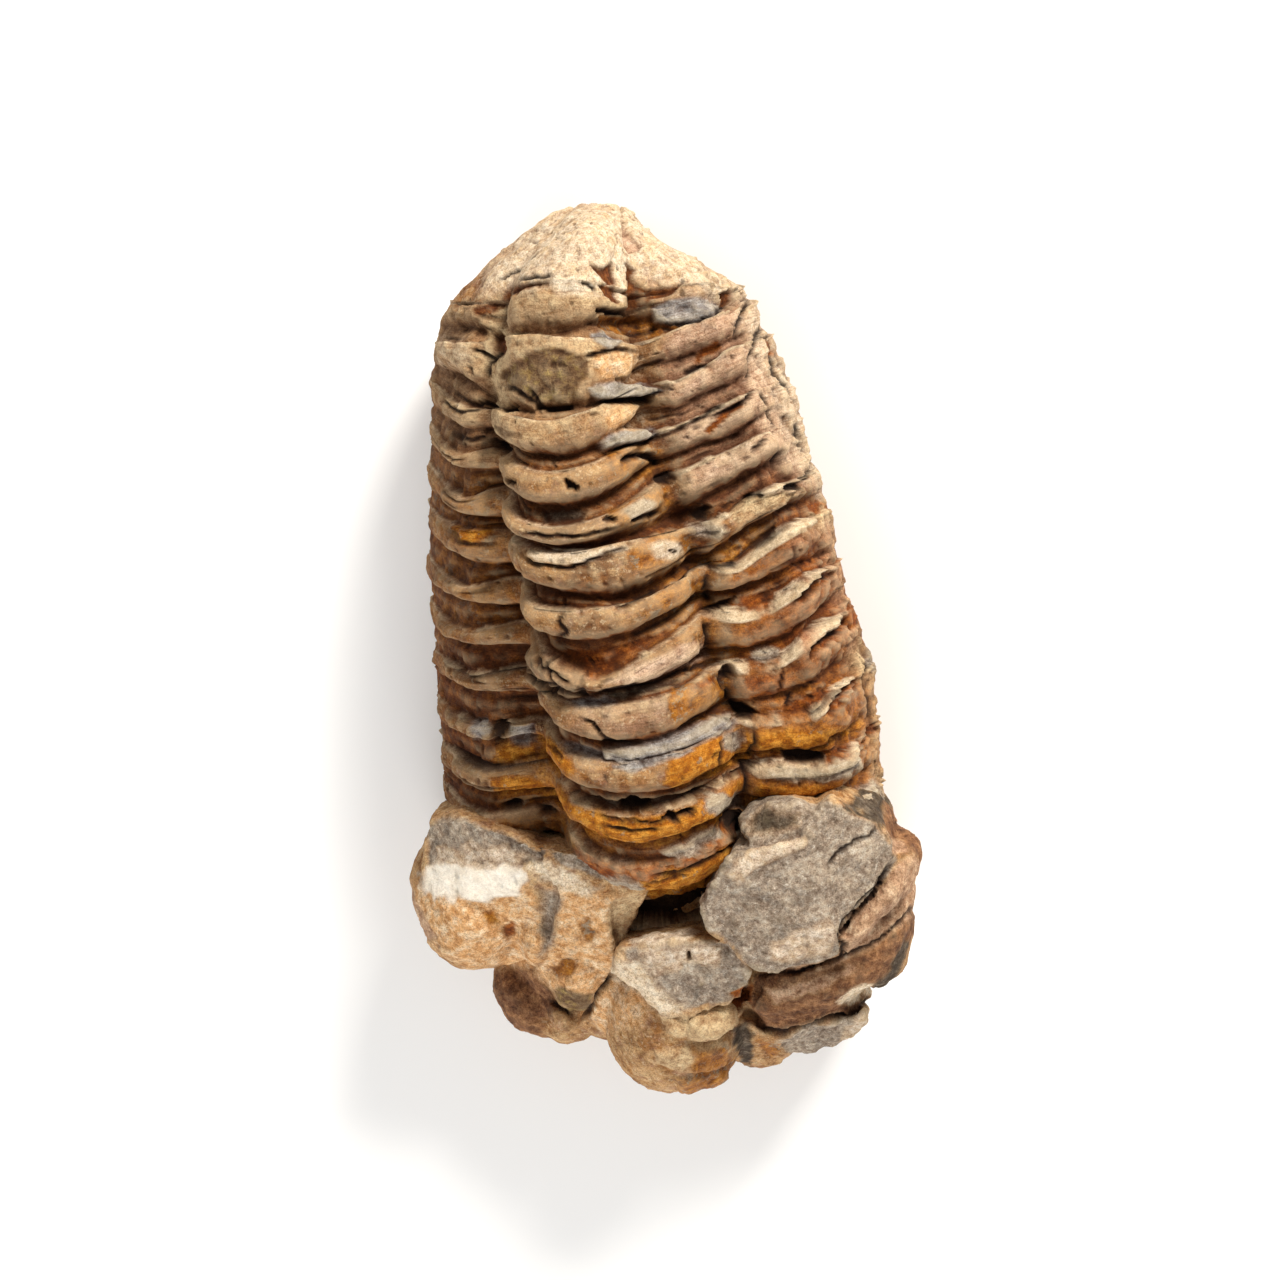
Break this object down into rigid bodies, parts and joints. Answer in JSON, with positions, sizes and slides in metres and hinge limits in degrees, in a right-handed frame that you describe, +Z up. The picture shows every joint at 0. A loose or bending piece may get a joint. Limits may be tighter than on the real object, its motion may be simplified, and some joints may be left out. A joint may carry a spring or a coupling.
{
  "type": "trilobite fossil",
  "caption": "Loose three-dimensional trilobite fossil in stone, with a ribbed, ringed back, a tapered tail plate and a broken, lumpy head, lying flat on its belly.",
  "frame": {"origin": "on the surface it lies on, under the middle of its box", "axes": "+Z up out of the back, +Y towards the tail along the body, +X to the right as seen from above with the tail up"},
  "size_m": [0.0517, 0.0939, 0.0335],
  "materials": {
    "fossil_stone": "matte, chalky tan limestone with ochre, rust and grey patches"
  },
  "bodies": {
    "root": {"trilobite_fossil": "fossil_stone"}
  },
  "joints": []
}
